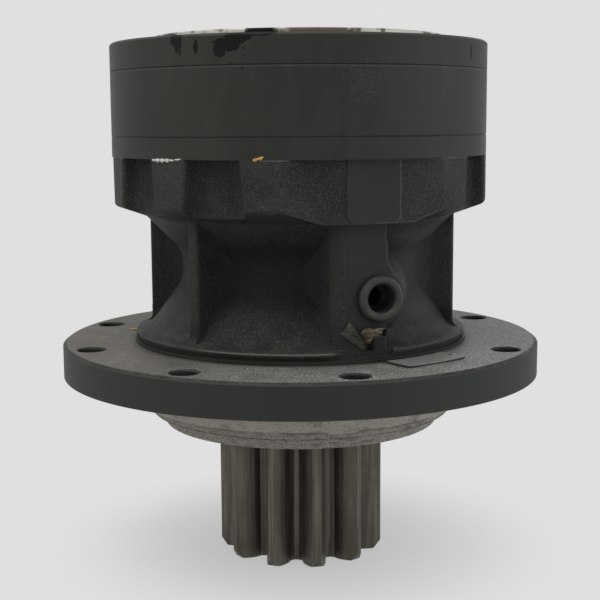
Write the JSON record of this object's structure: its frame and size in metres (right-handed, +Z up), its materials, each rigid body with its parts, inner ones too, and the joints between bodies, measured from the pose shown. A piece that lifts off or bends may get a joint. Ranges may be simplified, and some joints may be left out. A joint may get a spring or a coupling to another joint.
{
  "type": "swing gearbox",
  "caption": "Two-stage planetary swing reducer: lobed cast casing, ring gear stack, irregular bolt flange, oil port and spur output pinion.",
  "frame": {"origin": "centre of the mounting flange's underside, on the output axis", "axes": "+Z up along the output axis to the motor end; the eight flange holes are symmetric about the X axis, with the two wide steps round +X"},
  "size_m": [0.474, 0.474, 0.5138],
  "materials": {
    "cast_paint": "rough sand casting under thin worn dark paint, machined faces bare",
    "ring_steel": "turned ring steel, satin dark grey",
    "cover_iron": "machined cover, bare and dusty",
    "gear_steel": "hardened and ground tooth flanks",
    "pinion_steel": "phosphated brown-grey steel",
    "bearing_steel": "ground bearing steel",
    "screw_steel": "blackened screws",
    "plain_steel": "turned steel",
    "seal_rubber": "nitrile rubber",
    "bronze": "bearing bronze",
    "copper_washer": "soft metal sealing ring"
  },
  "bodies": {
    "housing": {"casing": "cast_paint", "second_stage_ring_gear": "ring_steel", "first_stage_ring_gear": "ring_steel", "ring_bolts": "screw_steel", "dowel_pins": "plain_steel", "casing_o_ring": "seal_rubber", "ring_o_ring": "seal_rubber", "port_adapter": "plain_steel", "port_washer": "copper_washer", "seal_cover": "cover_iron", "cover_screws": "screw_steel", "cover_o_ring": "seal_rubber", "oil_seal": "seal_rubber", "dust_seal": "seal_rubber", "lower_bearing_outer_ring": "bearing_steel", "upper_bearing_outer_ring": "bearing_steel"},
    "output_shaft": {"pinion_shaft": "pinion_steel", "seal_sleeve": "plain_steel", "lower_bearing_inner_ring": "bearing_steel", "bearing_spacer": "plain_steel", "upper_bearing_inner_ring": "bearing_steel", "nut_lock_washer": "plain_steel", "shaft_nut": "plain_steel", "shaft_end_plate": "plain_steel", "end_plate_screws": "screw_steel", "second_stage_carrier": "plain_steel", "second_stage_pins": "plain_steel", "second_stage_pin_locks": "plain_steel", "second_stage_thrust_washers": "bronze", "sun_thrust_disc": "bronze", "stage_thrust_ring": "bronze"},
    "lower_roller_set": {"lower_bearing_rollers": "bearing_steel", "lower_bearing_cage": "plain_steel"},
    "upper_roller_set": {"upper_bearing_rollers": "bearing_steel", "upper_bearing_cage": "plain_steel"},
    "intermediate_drive": {"second_stage_sun": "gear_steel", "first_stage_carrier": "plain_steel", "first_stage_pins": "plain_steel", "first_stage_clips": "plain_steel", "first_stage_thrust_washers": "bronze", "input_sun_disc": "bronze"},
    "input_sun": {"first_stage_sun": "gear_steel"},
    "second_stage_planet_a_body": {"second_stage_planet_a": "gear_steel", "second_stage_bush_a": "bronze"},
    "second_stage_planet_b_body": {"second_stage_planet_b": "gear_steel", "second_stage_bush_b": "bronze"},
    "second_stage_planet_c_body": {"second_stage_planet_c": "gear_steel", "second_stage_bush_c": "bronze"},
    "first_stage_planet_a_body": {"first_stage_planet_a": "gear_steel", "first_stage_bush_a": "bronze"},
    "first_stage_planet_b_body": {"first_stage_planet_b": "gear_steel", "first_stage_bush_b": "bronze"},
    "first_stage_planet_c_body": {"first_stage_planet_c": "gear_steel", "first_stage_bush_c": "bronze"}
  },
  "joints": [
    {"name": "output_spin", "type": "hinge", "parent": "housing", "child": "output_shaft", "pos_m": [0, 0, 0], "axis": [0, 0, 1], "continuous": true},
    {"name": "lower_rollers_spin", "type": "hinge", "parent": "housing", "child": "lower_roller_set", "pos_m": [0, 0, 0.0158], "axis": [0, 0, 1], "continuous": true},
    {"name": "upper_rollers_spin", "type": "hinge", "parent": "housing", "child": "upper_roller_set", "pos_m": [0, 0, 0.1385], "axis": [0, 0, 1], "continuous": true},
    {"name": "intermediate_spin", "type": "hinge", "parent": "housing", "child": "intermediate_drive", "pos_m": [0, 0, 0.29], "axis": [0, 0, 1], "continuous": true},
    {"name": "input_spin", "type": "hinge", "parent": "housing", "child": "input_sun", "pos_m": [0, 0, 0.31], "axis": [0, 0, 1], "continuous": true},
    {"name": "second_stage_planet_a_spin", "type": "hinge", "parent": "output_shaft", "child": "second_stage_planet_a_body", "pos_m": [0, 0.0825, 0.255], "axis": [0, 0, 1], "continuous": true},
    {"name": "second_stage_planet_b_spin", "type": "hinge", "parent": "output_shaft", "child": "second_stage_planet_b_body", "pos_m": [-0.07145, -0.04125, 0.255], "axis": [0, 0, 1], "continuous": true},
    {"name": "second_stage_planet_c_spin", "type": "hinge", "parent": "output_shaft", "child": "second_stage_planet_c_body", "pos_m": [0.07145, -0.04125, 0.255], "axis": [0, 0, 1], "continuous": true},
    {"name": "first_stage_planet_a_spin", "type": "hinge", "parent": "intermediate_drive", "child": "first_stage_planet_a_body", "pos_m": [0.06755, 0.039, 0.3075], "axis": [0, 0, 1], "continuous": true},
    {"name": "first_stage_planet_b_spin", "type": "hinge", "parent": "intermediate_drive", "child": "first_stage_planet_b_body", "pos_m": [-0.06755, 0.039, 0.3075], "axis": [0, 0, 1], "continuous": true},
    {"name": "first_stage_planet_c_spin", "type": "hinge", "parent": "intermediate_drive", "child": "first_stage_planet_c_body", "pos_m": [0, -0.078, 0.3075], "axis": [0, 0, 1], "continuous": true}
  ],
  "couplings": [
    {"joint": "lower_rollers_spin", "follows": "output_spin", "ratio": 0.4302},
    {"joint": "upper_rollers_spin", "follows": "output_spin", "ratio": 0.4286},
    {"joint": "intermediate_spin", "follows": "output_spin", "ratio": 4.4},
    {"joint": "input_spin", "follows": "output_spin", "ratio": 22.88},
    {"joint": "second_stage_planet_a_spin", "follows": "output_spin", "ratio": -2.8333},
    {"joint": "second_stage_planet_b_spin", "follows": "output_spin", "ratio": -2.8333},
    {"joint": "second_stage_planet_c_spin", "follows": "output_spin", "ratio": -2.8333},
    {"joint": "first_stage_planet_a_spin", "follows": "output_spin", "ratio": -11.55},
    {"joint": "first_stage_planet_b_spin", "follows": "output_spin", "ratio": -11.55},
    {"joint": "first_stage_planet_c_spin", "follows": "output_spin", "ratio": -11.55}
  ]
}
